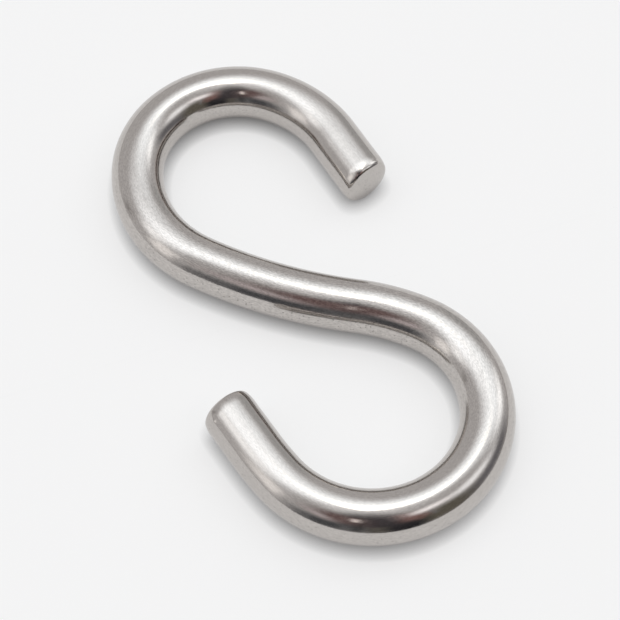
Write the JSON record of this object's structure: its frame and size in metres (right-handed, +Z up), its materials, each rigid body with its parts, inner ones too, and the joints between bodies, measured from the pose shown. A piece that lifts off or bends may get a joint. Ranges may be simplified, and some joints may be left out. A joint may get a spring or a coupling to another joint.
{
  "type": "s hook",
  "caption": "Open S-shaped hook bent from one round polished steel wire, lying flat, for hanging a load from a rail, ring or chain.",
  "frame": {"origin": "under the middle of the hook's box, on the surface it lies on", "axes": "+Y along the load line from the lower seat to the upper seat, +Z up off the surface the hook lies flat on, +X to the right"},
  "size_m": [0.0324, 0.0644, 0.006],
  "materials": {
    "steel": "tumble polished, with fine drawn lines along the wire"
  },
  "bodies": {
    "root": {"s_hook": "steel"}
  },
  "joints": []
}
